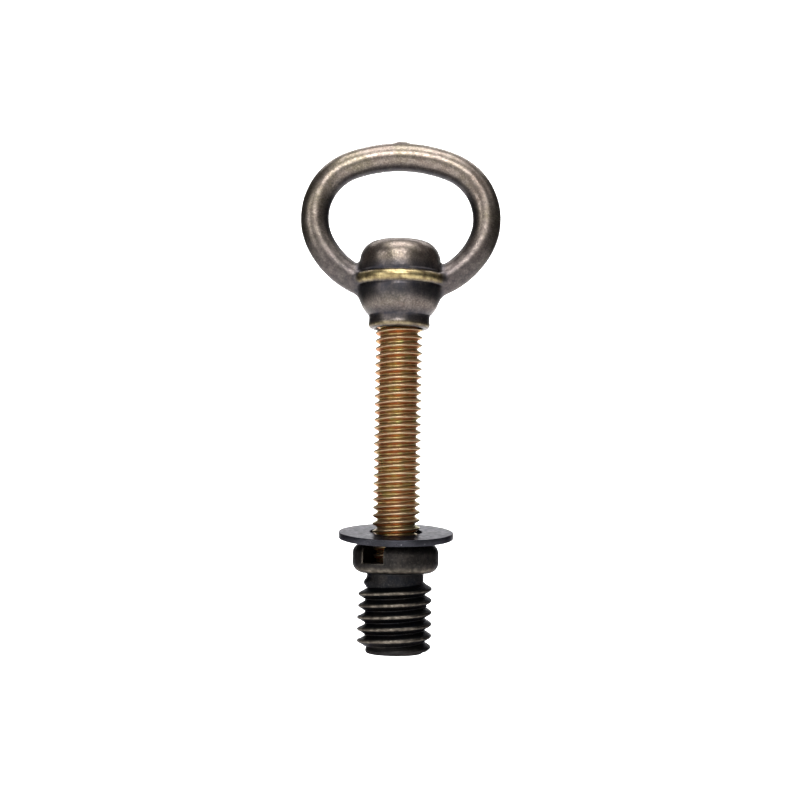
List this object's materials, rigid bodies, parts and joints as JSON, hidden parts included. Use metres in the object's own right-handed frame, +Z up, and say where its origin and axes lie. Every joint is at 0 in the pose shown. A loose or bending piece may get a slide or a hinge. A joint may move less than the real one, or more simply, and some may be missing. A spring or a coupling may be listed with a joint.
{
  "type": "eye bolt",
  "caption": "Oval-ring eye bolt with a domed hub on a threaded stud, a loose plain washer and a slotted, flanged threaded insert for timber.",
  "frame": {"origin": "on the stud's axis, in the plane of the insert's flange underside, which seats on the timber", "axes": "+Z up the stud towards the ring; the ring lies in the XZ plane, so +X runs across the ring and +Y through its opening"},
  "size_m": [0.0406, 0.0228, 0.1025],
  "materials": {
    "eye_casting": "dark antique patina, polished through to brass on the bead and the collar's edge",
    "stud_plating": "yellow chromate on zinc plate, iridescent",
    "washer_black": "glossy blue-black",
    "insert_casting": "black antique patina, worn on the thread's crests"
  },
  "bodies": {
    "eye_bolt": {"eye": "eye_casting", "stud": "stud_plating"},
    "washer": {"washer": "washer_black"},
    "insert_nut": {"insert_nut": "insert_casting"}
  },
  "joints": [
    {"name": "washer_slide", "type": "slide", "parent": "eye_bolt", "child": "washer", "axis": [0, 0, 1], "range_m": [-0.015, 0.0396]},
    {"name": "insert_turn", "type": "hinge", "parent": "washer", "child": "insert_nut", "pos_m": [0, 0, 0], "axis": [0, 0, 1], "range_deg": [-3420, 9000]}
  ],
  "couplings": [
    {"joint": "insert_turn", "follows": "washer_slide", "rad_per_m": 3957.9}
  ]
}
